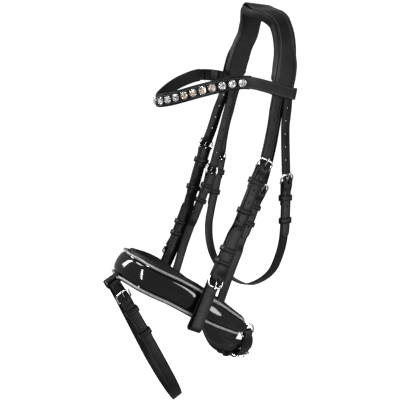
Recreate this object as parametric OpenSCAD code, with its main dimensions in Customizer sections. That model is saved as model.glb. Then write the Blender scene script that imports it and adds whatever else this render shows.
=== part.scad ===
/* [Leather] */
// Thickness of the single straps
strap_t = 2.2; // [1.8:0.1:2.4]
// Thickness of the straps that fold round the buckles
chape_t = 1.8; // [1.4:0.1:1.8]
// Width of the cheekpieces and their billets
cheek_w = 18; // [16:1:18]
// Width of the noseband's hanging strap
sliphead_w = 14; // [12:1:15]
// Width of the throatlash
throat_w = 14; // [12:1:15]
// Width of the flash strap
flash_w = 15; // [13:1:16]
// Width of the jaw strap
jaw_w = 18; // [16:1:20]

/* [Crown] */
// Width of the crown pad behind the ears
pad_poll_w = 48; // [46:1:52]
// Width of the crown pad where it is cut away for the ears
pad_ear_w = 31; // [30:1:36]
// Thickness of the crown pad between its rolled edges
pad_t = 6; // [4.6:0.2:6]

/* [Browband] */
// Height of the browband
browband_w = 16; // [14:1:18]
// Number of crystals in the row
crystal_count = 18; // [10:1:19]
// Distance between neighbouring crystals
crystal_pitch = 12.8; // [12:0.1:13]
// Diameter of one crystal's metal cup
cup_d = 10.6; // [8:0.2:11]

/* [Noseband] */
// Width of the glossy front with its flanges
front_w = 38; // [34:1:40]
// Width of the padded lining
lining_w = 44; // [42:1:48]
// Diameter of the light piping cords
piping_d = 3.4; // [2.6:0.2:3.6]

/* [Metal] */
// Radius of the wire in the buckle frames
wire_r = 1.3; // [1.1:0.1:1.3]
// Distance from a buckle's heel bar to its front bar
frame_l = 13; // [12:1:14]
// Radius of a buckle tongue
tongue_r = 0.9; // [0.7:0.1:0.9]
// Radius of the jaw rings, to the middle of the wire
ring_r = 10.5; // [10:0.5:12]

/* [Hidden] */

$fn = 24;
leather = "#26262a";
patent = "#0c0c0e";
lining = "#1d1d20";
silver = "#cfd2d6";
grey = "#a9abae";
gap = 0.2;
// Heights over a strap's middle plane: the layers of a buckled strap
chape_h = -(strap_t + chape_t) / 2 - gap;
turn_h = chape_h - chape_t - 0.05;
main_h = turn_h - (chape_t + strap_t) / 2 - 0.15;
bar_h = (chape_h + turn_h) / 2 + 1.45;
fold_r = bar_h - turn_h;
front_h = strap_t / 2 + 1.2;
keeper_t = 1.6;
keeper_low = turn_h - chape_t / 2 - 0.5;
hole_r = 1.7;

// ---- Curves ----
spline_steps = 10;
function unit(v) = v / norm(v);
function spline_point(a, b, c, d, t) =
    0.5 * (2 * b + (c - a) * t + (2 * a - 5 * b + 4 * c - d) * t * t + (3 * b - a - 3 * c + d) * t * t * t);
function spline(p) = [
    for (i = [0:len(p) - 2])
        for (j = [0:spline_steps - 1])
            spline_point(p[max(i - 1, 0)], p[i], p[i + 1], p[min(i + 2, len(p) - 1)], j / spline_steps),
    p[len(p) - 1]];
function reach(q) = [
    for (i = 0, s = 0; i < len(q); s = s + (i + 1 < len(q) ? norm(q[i + 1] - q[i]) : 0), i = i + 1) s];
// A route is a curve with a direction across it: tables of x, y and z over its length
function route(p, across) =
    let (q = spline(p), s = reach(q))
    [for (k = [0:2]) [for (i = [0:len(q) - 1]) [s[i], q[i][k]]], across, s[len(s) - 1]];
function length_of(r) = r[4];
function pos(r, s) = [lookup(s, r[0]), lookup(s, r[1]), lookup(s, r[2])];
function along(r, s) = unit(pos(r, s + 2) - pos(r, s - 2));
function across(r, s) = let (t = along(r, s)) unit(r[3] - (r[3] * t) * t);
function flip(p) = [for (v = p) [-v.x, v.y, v.z]];
function both_sides(p) = concat([for (i = [len(p) - 1:-1:1]) [-p[i].x, p[i].y, p[i].z]], p);

// ---- Leather: a path of [length, height, width] along a route, swept with a flat outline ----
flat = [[-0.5, -0.5], [0.5, -0.5], [0.5, 0.5], [-0.5, 0.5]];
round8 = [for (i = [0:7]) [cos(i * 45) / 2, sin(i * 45) / 2]];
function run(s0, s1, h0, h1, step = 8) =
    let (n = max(1, ceil(abs(s1 - s0) / step)))
    [for (i = [0:n]) [s0 + (s1 - s0) * i / n, h0 + (h1 - h0) * i / n]];
function arc(s, h, r, a0, a1, n = 6) = [
    for (i = [0:n]) let (a = a0 + (a1 - a0) * i / n) [s + r * cos(a), h + r * sin(a)]];
function tip(s, h, w, dir = 1) = [
    for (q = [[9, 1], [4, 0.8], [1, 0.5], [0, 0.3]]) [s - dir * q[0], h, w * q[1]]];

module strap(r, path, w, t = strap_t, outline = flat, side = 0) {
    n = len(path);
    k = len(outline);
    points = [for (i = [0:n - 1])
        let (a = path[max(i - 1, 0)], b = path[min(i + 1, n - 1)], d = unit([b[0] - a[0], b[1] - a[1]]),
             q = path[i], T = along(r, q[0]), W = across(r, q[0]), N = cross(T, W),
             c = pos(r, q[0]) + q[1] * N + (is_list(side) ? side[i] : side) * W, m = d[0] * N - d[1] * T,
             wide = is_undef(q[2]) ? w : q[2])
        for (o = outline) c + o[0] * wide * W + o[1] * t * m];
    sides = [for (i = [0:n - 2]) for (j = [0:k - 1])
        let (a = i * k + j, b = i * k + (j + 1) % k) each [[a, a + k, b], [b, a + k, b + k]]];
    ends = [[for (j = [0:k - 1]) j], [for (j = [k - 1:-1:0]) (n - 1) * k + j]];
    polyhedron(points, concat(sides, ends), convexity = 8);
}

// Stands children on a route: x along the strap, y across it, z outward
module at(r, s, h = 0, dir = 1) {
    T = along(r, s);
    W = across(r, s);
    N = cross(T, W);
    P = pos(r, s) + h * N;
    multmatrix([[T.x, W.x, N.x, P.x], [T.y, W.y, N.y, P.y], [T.z, W.z, N.z, P.z], [0, 0, 0, 1]])
        rotate([0, 0, dir > 0 ? 0 : 180]) children();
}

module holes(r, places) {
    for (s = places) at(r, s) cylinder(h = 9, r = hole_r, center = true);
}

// ---- Buckles: the heel bar lies across the strap at x = 0, the front bar at x = -frame_l ----
// The leather that folds round a heel bar, from its turned-back end to its outer layer
function chape_path(s, dir = 1, back = 30) = concat(
    [for (q = run(back, 6, turn_h, turn_h)) [s + dir * q[0], q[1]]],
    [for (q = arc(0, bar_h, fold_r, 270, 90)) [s + dir * q[0], q[1]]],
    [[s + dir * 4, bar_h + fold_r - 0.9], [s + dir * 8, chape_h + 0.2]]);
// The billet's rise over the heel bar
function billet_rise(s, dir = 1) = [
    for (q = [[-17, -0.9], [-12, -0.5], [-9, 0.2], [-6, 1.6], [-3, 2.7], [0, 3],
        [3, 2.7], [6, 1.8], [10, 0.6], [14, 0]])
        [s + dir * q[0], q[1]]];
// The slot that lets a tongue through a folded chape
module tongue_slot(r, s, dir = 1) {
    at(r, s, 0, dir) translate([-4.5, -1.9, bar_h - 2.9]) cube([8, 3.8, 8]);
}
// The hole that the tongue goes through, stretched along the strap
module engaged_hole(r, s, dir = 1) {
    at(r, s, 0, dir) {
        translate([-8, 0, 0]) cylinder(h = 12, r = hole_r, center = true);
        translate([-8, -hole_r, -6]) cube([8, 2 * hole_r, 12]);
    }
}

module frame(w) {
    half = w / 2 + 1.2 + wire_r;
    bend = 5;
    rise = front_h - bar_h;
    slope = asin(rise / frame_l);
    rotate([0, slope, 0]) {
        rotate([90, 0, 0]) cylinder(h = 2 * half, r = wire_r, center = true);
        translate([-frame_l, 0, 0]) rotate([90, 0, 0]) cylinder(h = 2 * (half - bend), r = wire_r, center = true);
        for (side = [-1, 1]) {
            translate([0, side * half, 0]) sphere(r = wire_r);
            translate([bend - frame_l, side * half, 0]) rotate([0, 90, 0]) cylinder(h = frame_l - bend, r = wire_r);
            translate([bend - frame_l, side * (half - bend), 0]) mirror([0, side < 0 ? 1 : 0, 0])
                rotate([0, 0, 90]) rotate_extrude(angle = 90) translate([bend, 0]) circle(r = wire_r);
        }
    }
}
module buckle(r, s, w, dir = 1, side = "left") {
    color(silver) at(r, s, bar_h, dir) mirror([0, side == "right" ? 1 : 0, 0]) frame(w);
}

module tongue(r, s, dir = 1) {
    reach_x = frame_l + 2.5;
    lift = front_h + wire_r + tongue_r + 0.4 - bar_h;
    slope = atan((lift - 1.65) / (frame_l - 1.4));
    color(silver) at(r, s, bar_h, dir) difference() {
        union() {
            rotate([90, 0, 0]) cylinder(h = 2.6, r = 2.6, center = true);
            translate([-0.6, 0, 1.65]) rotate([0, slope - 90, 0]) cylinder(h = reach_x, r = tongue_r);
            translate([-0.6, 0, 1.65]) rotate([0, slope - 90, 0])
                translate([0, 0, reach_x]) sphere(r = tongue_r);
        }
        rotate([90, 0, 0]) cylinder(h = 8, r = wire_r + 0.06, center = true);
    }
}

// A leather loop round the layers between two heights; it may slide along the strap
module keeper(r, s, w, low, high, long = 8, dir = 1) {
    room = w + 1;
    color(leather) at(r, s, (low + high) / 2, dir) difference() {
        cube([long, room + 2 * keeper_t, high - low + 2 * keeper_t], center = true);
        cube([long + 2, room, high - low], center = true);
    }
}

// ---- Routes. The leather hangs a little further forward on one side than on the other ----
crown = route([[-64.5, -8, -101], [-64, -7, -88], [-61, -5, -70], [-57, 0, -48], [-49, 7, -24], [-37, 6, 2],
    [-20, 3, 14], [0, 1, 10.6], [20, 2, 7.5], [38, 5, -3], [50, 5, -24], [57, 3, -48], [61.5, -1.5, -70],
    [63.5, -7, -88], [64, -9, -101]], [0, 1, 0]);
brow = route([[-68.2, 16, -99], [-68.2, -5, -94], [-68, -30, -87], [-67.5, -62, -83], [-64, -92, -88],
    [-58, -113, -95], [-49, -131, -102], [-37, -144, -106], [-20, -152, -106], [0, -146, -102], [18, -136, -96],
    [33, -124, -90], [45, -111, -85], [54, -98, -81], [62, -82, -78], [67, -62, -78], [68, -34, -85],
    [68.2, -5, -94], [68.2, 16, -99]], [0, 0, 1]);
cheek_left = route([[64, -17, -104], [66, -21, -118], [70, -26, -135], [75, -36, -165], [79, -45, -186],
    [80, -61, -216], [79, -78, -254], [79, -95, -290], [79, -113, -325], [79.5, -133, -362],
    [79.5, -155, -402]], [0, 1, 0]);
cheek_right = route([[64, -17, -104], [66, -22, -118], [70, -27, -135], [75, -35, -165], [79, -42, -186],
    [80, -53, -218], [79, -66, -255], [79, -81, -292], [79, -97, -328], [79.5, -114, -364],
    [79.5, -134, -405]], [0, 1, 0]);
sliphead = route([[59.5, -8, -104], [60, -11, -120], [62, -16, -140], [64, -22, -165], [65, -29, -190],
    [65.5, -39, -222], [66, -54, -258], [66.5, -71, -296], [66, -88, -335], [64.5, -102, -372],
    [64.5, -107, -384]], [0, 1, 0]);
// The throatlash hangs as a U from the near side, under the jaw, to the far side
throat_near = [[65, 1, -104], [68, -2, -118], [72, -7, -138], [77, -10, -158], [82, -12, -182], [86, -13, -207],
    [88, -14, -232], [88, -14, -264], [86, -14, -294], [79, -15, -320], [66, -17, -347], [44, -21, -369],
    [16, -26, -385]];
throat_far = [[-15, -29, -388], [-45, -32, -383], [-66, -35, -367], [-79, -36, -345], [-86, -34, -318],
    [-88, -28, -290], [-88, -21, -262], [-87, -16, -234], [-85, -12, -207], [-82, -10, -182], [-77, -8, -158],
    [-72, -5, -138], [-68, -2, -118], [-65, 1, -104]];
throat = route(concat(throat_near, throat_far), [0, 0.96, -0.28]);
throat_back = route(flip([for (i = [1:len(throat_far)]) throat_far[len(throat_far) - i]]), [0, 0.96, -0.28]);
nose_tilt = [0, 0.545, 0.839];
nose_side = [[0, -216, -322], [20, -213, -323], [36, -204, -329], [48, -189, -338], [57, -170, -349],
    [65, -148, -364], [68, -115, -388], [66, -82, -412], [63, -62, -425], [61.6, -53, -431], [60.5, -46, -435]];
nose = route(both_sides(nose_side), nose_tilt);
// The flash strap's closed loop hangs in a plane, so its points are [distance outward, distance down]
flash_side = [[0, 0], [8, 4], [13, 14], [18, 36], [22, 70], [25, 110], [26, 150], [24, 188], [15, 214], [0, 226],
    [-15, 215], [-26, 186], [-26, 150], [-21, 110], [-15, 70], [-10, 36], [-8, 14], [-6, 4], [0, 0], [8, 4],
    [13, 14], [18, 36], [22, 70], [25, 110], [26, 150], [24, 188]];
flash_top = [0, -235, -340];
flash_down = [0, 0.43, -0.903];
flash = route([for (q = flash_side) flash_top + [q[0], 0, 0] + q[1] * flash_down], [0, 0.903, 0.43]);
// Length of the flash strap's loop, where it comes back to its top
flash_turn = flash[0][18 * spline_steps][0];
ring_at = [62, -56, -431];
jaw = route([[62, -56, -422], [62, -56, -434], [62, -56, -447], [60, -56, -459], [53, -57, -469],
    [40, -58, -476], [22, -61, -482], [1, -63, -486], [-21, -62, -485], [-41, -59, -478], [-54, -57, -468],
    [-60, -56, -458], [-62, -56, -447], [-62, -56, -434], [-62, -56, -422]], [0, 1, 0]);
function cheek(side) = side == "right" ? cheek_right : cheek_left;
function throat_of(side) = side == "right" ? throat_back : throat;

// ---- Places along the routes ----
crown_mid = length_of(crown) / 2;
brow_mid = length_of(brow) / 2;
nose_mid = length_of(nose) / 2;
// Distance from each end of the noseband's route to the jaw ring's middle, and to its leather front
ring_back = 9;
front_end = 32;
cheek_heel = 94;
bit_heel = 252;
sliphead_heel = 130;
throat_heel = 114;
flash_heel = 34;
jaw_heel = 62;

module left_and_right(side) {
    mirror([side == "right" ? 1 : 0, 0, 0]) children();
}

// ---- Crown ----
module headpiece() {
    tail = length_of(crown) - 2;
    widths = [[0, 36], [22, 32], [48, 24], [75, 24], [90, 27], [104, 31], [130, 31]];
    path = [for (q = run(2, tail, 0, 0, 6)) [q[0], 0, lookup(abs(q[0] - crown_mid), widths)]];
    color(leather) strap(crown, path, 30, 2.4);
}

module crown_pad() {
    reach_s = 120;
    top = 10.8;
    outline = [[-0.5, 2], [-0.47, 0], [0.47, 0], [0.5, 2], [0.5, top - 2], [0.47, top], [0.42, top], [0.39, top - 2],
        [0.39, pad_t], [-0.39, pad_t], [-0.39, top - 2], [-0.42, top], [-0.47, top], [-0.5, top - 2]];
    widths = [[0, pad_poll_w], [22, pad_poll_w - 6], [48, pad_ear_w]];
    heights = [[82, -10.2], [104, -12.6]];
    path = [for (q = run(crown_mid - reach_s, crown_mid + reach_s, 0, 0, 7))
        let (d = abs(q[0] - crown_mid)) [q[0], lookup(d, heights), lookup(d, widths)]];
    color(lining) strap(crown, path, pad_ear_w, 1, outline);
}

module sliphead_crown() {
    color(leather) strap(crown, run(2, length_of(crown) - 2, -2.7, -2.7, 7), sliphead_w, 2);
}

// ---- Browband ----
module browband() {
    // The band, whose ends turn inward round the cheek straps and are sewn back on to it
    loop_r = 5.6;
    turn = brow_mid - 8;
    function end_path(d) = concat(
        [for (q = [[turn - 62, -2.3], [turn - 54, -2.3], [turn - 44, -2 * loop_r]]) [brow_mid + d * q[0], q[1]]],
        [for (q = run(turn - 34, turn - 4, -2 * loop_r, -2 * loop_r)) [brow_mid + d * q[0], q[1]]],
        [for (q = arc(turn, -loop_r, loop_r, 270, 450, 8)) [brow_mid + d * q[0], q[1]]]);
    left_end = end_path(1);
    right_end = end_path(-1);
    path = concat(right_end, run(brow_mid - turn + 6, brow_mid + turn - 6, 0, 0, 7),
        [for (i = [len(left_end) - 1:-1:0]) left_end[i]]);
    color(leather) strap(brow, path, browband_w, 2);
}

module browband_lining() {
    path = run(brow_mid - 126, brow_mid + 126, -2.7, -2.7, 7);
    outline = [[-0.5, 0.5], [-0.46, -0.3], [-0.3, -0.5], [0.3, -0.5], [0.46, -0.3], [0.5, 0.5]];
    color(lining) strap(brow, path, browband_w + 1.5, 3, outline);
}

module each_crystal() {
    for (i = [0:crystal_count - 1])
        at(brow, brow_mid + (i - (crystal_count - 1) / 2) * crystal_pitch, 1.05) children();
}
module crystal_cups() {
    color(silver) each_crystal() difference() {
        cylinder(h = 2.6, d = cup_d);
        translate([0, 0, 0.8]) cylinder(h = 3, d = cup_d - 1.2);
    }
}
module crystals() {
    color("#e8e6e2") each_crystal() translate([0, 0, 0.9]) {
        cylinder(h = 1.5, d = cup_d - 1.4);
        translate([0, 0, 1.5]) cylinder(h = 1.6, d1 = cup_d - 1.4, d2 = cup_d - 4.6);
    }
}

// ---- Cheek straps ----
module cheek_billet(side) {
    path = concat(run(0, cheek_heel - 24, 0, -0.6, 8), billet_rise(cheek_heel), run(cheek_heel + 20, 158, 0, 0, 8),
        tip(172, 0, cheek_w));
    color(leather) left_and_right(side) difference() {
        strap(cheek(side), path, cheek_w - 1);
        holes(cheek(side), [for (i = [0:3]) 10 + 17.5 * i]);
        holes(cheek(side), [for (i = [1:3]) cheek_heel - 4 + 17.5 * i]);
        engaged_hole(cheek(side), cheek_heel);
    }
}

module cheekpiece(side) {
    bit_turn = length_of(cheek(side)) - 6;
    path = concat(chape_path(cheek_heel), run(cheek_heel + 12, 175, chape_h, chape_h, 8),
        run(192, bit_heel + 6, main_h, main_h, 8), [[bit_heel + 20, -5.4], [bit_turn - 12, -4.6]],
        arc(bit_turn, 0, 4.6, 270, 450, 8), [[bit_turn - 12, 3.4], [bit_heel + 26, 0]],
        billet_rise(bit_heel, -1), run(bit_heel - 20, 190, 0, 0, 8), tip(178, 0, cheek_w, -1));
    color(leather) left_and_right(side) difference() {
        strap(cheek(side), path, cheek_w, chape_t);
        tongue_slot(cheek(side), cheek_heel);
        at(cheek(side), bit_heel, 0, -1) translate([-8, -hole_r, -4.6]) cube([9, 2 * hole_r, 12]);
    }
}

module cheek_buckle(side) {
    left_and_right(side) buckle(cheek(side), cheek_heel, cheek_w, 1, side);
}
module cheek_tongue(side) {
    left_and_right(side) tongue(cheek(side), cheek_heel);
}
module cheek_keeper(side) {
    left_and_right(side)
        keeper(cheek(side), cheek_heel + 20, cheek_w, keeper_low, strap_t / 2 + 0.4);
}
module cheek_runner(side) {
    left_and_right(side)
        keeper(cheek(side), 156, cheek_w, chape_h - strap_t / 2 - 0.4, strap_t / 2 + 0.4);
}

// The bit end's chape with its two sewn keepers; the strap's tail comes up from the bit and lies on it
module bit_chape(side) {
    top = bit_heel - 62;
    path = concat(chape_path(bit_heel, -1, 26), run(bit_heel - 12, top, chape_h, chape_h, 8));
    color(leather) left_and_right(side) {
        difference() {
            strap(cheek(side), path, cheek_w, chape_t);
            tongue_slot(cheek(side), bit_heel, -1);
        }
        for (s = [bit_heel - 22, bit_heel - 40])
            keeper(cheek(side), s, cheek_w, main_h - strap_t / 2 - gap, strap_t / 2 + 0.3, 7);
    }
}
module bit_buckle(side) {
    left_and_right(side) buckle(cheek(side), bit_heel, cheek_w, -1, side);
}
module bit_tongue(side) {
    left_and_right(side) tongue(cheek(side), bit_heel, -1);
}

// ---- The noseband's hanging straps ----
module sliphead_billet(side) {
    path = concat(run(0, sliphead_heel - 24, 0, -0.6, 8), billet_rise(sliphead_heel),
        run(sliphead_heel + 20, 182, 0, 0, 8), tip(196, 0, sliphead_w));
    color(leather) left_and_right(side) difference() {
        strap(sliphead, path, sliphead_w);
        holes(sliphead, [for (i = [0:5]) 10 + 17.5 * i]);
        holes(sliphead, [for (i = [1:3]) sliphead_heel - 4 + 17.5 * i]);
        engaged_hole(sliphead, sliphead_heel);
    }
}
module sliphead_strap(side) {
    path = concat(chape_path(sliphead_heel), run(sliphead_heel + 12, 205, chape_h, chape_h, 8),
        run(215, length_of(sliphead) - 1, 0, 0, 8));
    color(leather) left_and_right(side) difference() {
        strap(sliphead, path, sliphead_w, chape_t);
        tongue_slot(sliphead, sliphead_heel);
    }
}
module sliphead_buckles() {
    for (side = ["left", "right"]) left_and_right(side) {
        buckle(sliphead, sliphead_heel, sliphead_w, 1, side);
        tongue(sliphead, sliphead_heel);
    }
}
module sliphead_keepers() {
    for (side = ["left", "right"]) left_and_right(side) {
        keeper(sliphead, sliphead_heel + 20, sliphead_w, keeper_low, strap_t / 2 + 0.4, 7);
        keeper(sliphead, 174, sliphead_w, chape_h - chape_t / 2 - gap, strap_t / 2 + 0.3, 7);
    }
}

// ---- Throatlash ----
module throat_billet(side) {
    path = concat(run(0, throat_heel - 24, 0, -0.6, 8), billet_rise(throat_heel),
        run(throat_heel + 20, 178, 0, 0, 8), tip(192, 0, throat_w));
    color(leather) left_and_right(side) difference() {
        strap(throat_of(side), path, throat_w);
        holes(throat_of(side), [for (i = [0:4]) 12 + 17.5 * i]);
        holes(throat_of(side), [for (i = [1:3]) throat_heel - 4 + 17.5 * i]);
        engaged_hole(throat_of(side), throat_heel);
    }
}
module throatlash() {
    far_heel = length_of(throat) - throat_heel;
    near_end = chape_path(throat_heel);
    far_end = chape_path(far_heel, -1);
    path = concat(near_end, run(throat_heel + 12, far_heel - 12, chape_h, chape_h, 8),
        [for (i = [len(far_end) - 1:-1:0]) far_end[i]]);
    color(leather) difference() {
        strap(throat, path, throat_w, chape_t);
        tongue_slot(throat, throat_heel);
        tongue_slot(throat, far_heel, -1);
    }
}
module throat_buckle(side) {
    left_and_right(side) buckle(throat_of(side), throat_heel, throat_w, 1, side);
}
module throat_tongue(side) {
    left_and_right(side) tongue(throat_of(side), throat_heel);
}
module throat_keeper(side) {
    left_and_right(side)
        keeper(throat_of(side), throat_heel + 20, throat_w, keeper_low, strap_t / 2 + 0.4);
}
module throat_runner(side) {
    left_and_right(side)
        keeper(throat_of(side), 166, throat_w, chape_h - chape_t / 2 - 0.4, strap_t / 2 + 0.4);
}

// ---- Noseband ----
function nose_taper(s) = lookup(abs(s - nose_mid), [[0, 1], [110, 1], [165, 0.82], [215, 0.56]]);
module noseband_front() {
    // Between its flanges the glossy front is filled and crowned; its ends fold round the jaw rings
    outline = [[-0.5, -1.1], [0.5, -1.1], [0.5, 0.9], [0.39, 1.1], [0.34, 2.7], [0.2, 3.9], [0, 4.3], [-0.2, 3.9],
        [-0.34, 2.7], [-0.39, 1.1], [-0.5, 0.9]];
    path = [for (q = run(front_end, length_of(nose) - front_end, 0, 0, 7)) [q[0], 0, front_w * nose_taper(q[0])]];
    color(patent) strap(nose, path, front_w, 1, outline);
}
// The leather at each end of the noseband that folds round a jaw ring
module ring_chapes() {
    fold = 2.7;
    for (d = [-1, 1]) {
        s = nose_mid + d * (nose_mid - ring_back - ring_r + 0.7);
        path = concat([[s - d * 20, -2.4, 18], [s - d * 12, -2.4, 14], [s - d * 5, -fold, 10]],
            [for (a = [270:30:450]) [s + d * fold * cos(a), fold * sin(a), 9]],
            [[s - d * 3, fold, 9], [s - d * 7, 2, 10]]);
        color(leather) strap(nose, path, 12, 1.6);
    }
}
module noseband_piping() {
    for (d = [-1, 1]) {
        path = run(front_end + 2, length_of(nose) - front_end - 2, 2.75, 2.75, 7);
        beside = [for (q = path) d * (front_w / 2 - 2) * nose_taper(q[0])];
        color(grey) strap(nose, path, piping_d, piping_d, round8, beside);
    }
}
module noseband_lining() {
    outline = [[-0.5, -0.1], [-0.46, -0.38], [-0.35, -0.5], [0.35, -0.5], [0.46, -0.38], [0.5, -0.1], [0.5, 0.3],
        [0.46, 0.5], [-0.46, 0.5], [-0.5, 0.3]];
    path = [for (q = run(front_end + 6, length_of(nose) - front_end - 6, -7, -7, 7))
        [q[0], q[1], lining_w * nose_taper(q[0])]];
    color(lining) strap(nose, path, lining_w, 6.4, outline, 1);
}
module jaw_rings() {
    wire = 1.4;
    for (d = [-1, 1]) color(silver) translate([d * ring_at.x, ring_at.y, ring_at.z]) rotate([0, 90, 0])
        rotate_extrude() translate([ring_r, 0]) circle(r = wire);
}

// ---- Flash strap ----
module flash_tab() {
    keeper(flash, flash_turn, flash_w + 3, -5.4, 3.3, 9);
}
module flash_strap() {
    tail = flash_turn + 110;
    path = concat(chape_path(flash_heel), run(flash_heel + 12, 300, chape_h, chape_h, 8),
        run(330, flash_turn + flash_heel - 24, 0, -0.6, 8), billet_rise(flash_turn + flash_heel),
        run(flash_turn + flash_heel + 20, tail - 14, 0, 0, 8), tip(tail, 0, flash_w));
    color(leather) difference() {
        strap(flash, path, flash_w, chape_t);
        tongue_slot(flash, flash_heel);
        engaged_hole(flash, flash_heel);
    }
}
module flash_buckle() {
    buckle(flash, flash_heel, flash_w);
}
module flash_tongue() {
    tongue(flash, flash_heel);
}
module flash_keeper() {
    keeper(flash, flash_heel + 20, flash_w, keeper_low, strap_t / 2 + 0.4);
}
module flash_runner() {
    keeper(flash, 92, flash_w, chape_h - chape_t / 2 - 0.4, strap_t / 2 + 0.4);
}

// ---- Jaw strap ----
// The narrow loop that hangs from a jaw ring, from its sewn end to its outer layer
ring_loop = concat([[36, -2.5, 16], [28, -2.7, 13], [22, -2.7, 12]],
    [for (q = arc(16, 0, 2.7, 270, 90)) [q[0], q[1], 12]], [[22, 2.4, 12], [27, 1.2, 14]]);
module jaw_strap() {
    far_end = [for (i = [len(ring_loop) - 1:-1:0])
        [length_of(jaw) - ring_loop[i][0], ring_loop[i][1], ring_loop[i][2]]];
    path = concat(chape_path(jaw_heel, 1, 22), run(jaw_heel + 12, length_of(jaw) - 38, chape_h, chape_h, 8),
        far_end);
    color(leather) difference() {
        strap(jaw, path, jaw_w, chape_t);
        tongue_slot(jaw, jaw_heel);
    }
}
module jaw_billet() {
    path = concat([for (q = ring_loop) q], billet_rise(jaw_heel), run(jaw_heel + 20, jaw_heel + 34, 0, 0, 7),
        tip(jaw_heel + 46, 0, jaw_w));
    color(leather) difference() {
        strap(jaw, path, jaw_w, chape_t);
        engaged_hole(jaw, jaw_heel);
    }
}
module chin_pad() {
    outline = [[-0.5, -0.1], [-0.44, -0.5], [0.44, -0.5], [0.5, -0.1], [0.46, 0.5], [-0.46, 0.5]];
    color(lining) strap(jaw, run(jaw_heel - 25, length_of(jaw) - 38, -11, -11, 6), 37, 8, outline, 5.5);
}
module jaw_buckle() {
    buckle(jaw, jaw_heel, jaw_w);
}
module jaw_tongue() {
    tongue(jaw, jaw_heel);
}
module jaw_keeper() {
    keeper(jaw, jaw_heel + 20, jaw_w, keeper_low, strap_t / 2 + 0.4);
}

headpiece();
crown_pad();
sliphead_crown();
browband();
browband_lining();
crystal_cups();
crystals();
cheek_billet("left");  // cheek_billet_left
cheek_billet("right");  // cheek_billet_right
cheekpiece("left");  // cheekpiece_left
cheekpiece("right");  // cheekpiece_right
cheek_buckle("left");  // cheek_buckle_left
cheek_buckle("right");  // cheek_buckle_right
cheek_tongue("left");  // cheek_tongue_left
cheek_tongue("right");  // cheek_tongue_right
cheek_keeper("left");  // cheek_keeper_left
cheek_keeper("right");  // cheek_keeper_right
cheek_runner("left");  // cheek_runner_left
cheek_runner("right");  // cheek_runner_right
bit_chape("left");  // bit_chape_left
bit_chape("right");  // bit_chape_right
bit_buckle("left");  // bit_buckle_left
bit_buckle("right");  // bit_buckle_right
bit_tongue("left");  // bit_tongue_left
bit_tongue("right");  // bit_tongue_right
sliphead_billet("left");  // sliphead_billet_left
sliphead_billet("right");  // sliphead_billet_right
sliphead_strap("left");  // sliphead_strap_left
sliphead_strap("right");  // sliphead_strap_right
sliphead_buckles();
sliphead_keepers();
throat_billet("left");  // throat_billet_left
throat_billet("right");  // throat_billet_right
throat_buckle("left");  // throat_buckle_left
throat_buckle("right");  // throat_buckle_right
throat_tongue("left");  // throat_tongue_left
throat_tongue("right");  // throat_tongue_right
throat_keeper("left");  // throat_keeper_left
throat_keeper("right");  // throat_keeper_right
throat_runner("left");  // throat_runner_left
throat_runner("right");  // throat_runner_right
throatlash();
noseband_front();
noseband_piping();
noseband_lining();
ring_chapes();
jaw_rings();
flash_tab();
flash_strap();
flash_buckle();
flash_tongue();
flash_keeper();
flash_runner();
jaw_strap();
jaw_billet();
chin_pad();
jaw_buckle();
jaw_tongue();
jaw_keeper();
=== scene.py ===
"""A snaffle bridle: its visual pieces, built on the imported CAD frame. Lengths are in millimetres."""
import math

import bpy
import numpy as np
from mathutils import Matrix, Vector

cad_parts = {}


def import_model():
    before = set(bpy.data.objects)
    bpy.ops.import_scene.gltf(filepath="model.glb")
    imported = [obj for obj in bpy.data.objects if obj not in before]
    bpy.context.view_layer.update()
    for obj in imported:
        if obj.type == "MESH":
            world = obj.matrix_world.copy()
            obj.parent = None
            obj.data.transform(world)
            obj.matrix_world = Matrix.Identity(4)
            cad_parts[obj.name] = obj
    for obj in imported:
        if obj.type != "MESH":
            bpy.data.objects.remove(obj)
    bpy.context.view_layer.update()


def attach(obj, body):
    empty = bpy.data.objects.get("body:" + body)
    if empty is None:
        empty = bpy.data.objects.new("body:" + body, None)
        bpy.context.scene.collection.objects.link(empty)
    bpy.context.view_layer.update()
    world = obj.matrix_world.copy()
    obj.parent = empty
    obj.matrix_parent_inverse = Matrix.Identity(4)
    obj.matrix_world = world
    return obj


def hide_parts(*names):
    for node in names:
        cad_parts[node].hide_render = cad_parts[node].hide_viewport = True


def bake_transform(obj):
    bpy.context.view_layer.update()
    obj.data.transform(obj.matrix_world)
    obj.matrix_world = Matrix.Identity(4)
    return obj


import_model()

MM = 0.001

# ------------ sizes, as in the CAD
STRAP_T, CHAPE_T, GAP = 2.2, 1.8, 0.2
CHEEK_W, SLIP_W, THROAT_W, FLASH_W, JAW_W = 18, 14, 14, 15, 18
CHAPE_H = -(STRAP_T + CHAPE_T) / 2 - GAP
TURN_H = CHAPE_H - CHAPE_T - 0.05
MAIN_H = TURN_H - (CHAPE_T + STRAP_T) / 2 - 0.15
BAR_H = (CHAPE_H + TURN_H) / 2 + 1.45
FOLD_R = BAR_H - TURN_H
WIRE_R, FRAME_L = 1.3, 13
FRONT_H = STRAP_T / 2 + 1.2
KEEPER_T = 1.6
KEEPER_LOW = TURN_H - CHAPE_T / 2 - 0.5
KEEPER_HIGH = STRAP_T / 2 + 0.4
HOLE_R = 1.3
FRONT_W, LINING_W, PIPING_D = 38, 44, 3.4
RING_R = 10.5
HOLE_PITCH = 17.5
SEAM_IN = 2.4
ROW_STEP = 1.6
ROUTE_STEPS = 10
RING_AT = (62, -56, -431)

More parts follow.
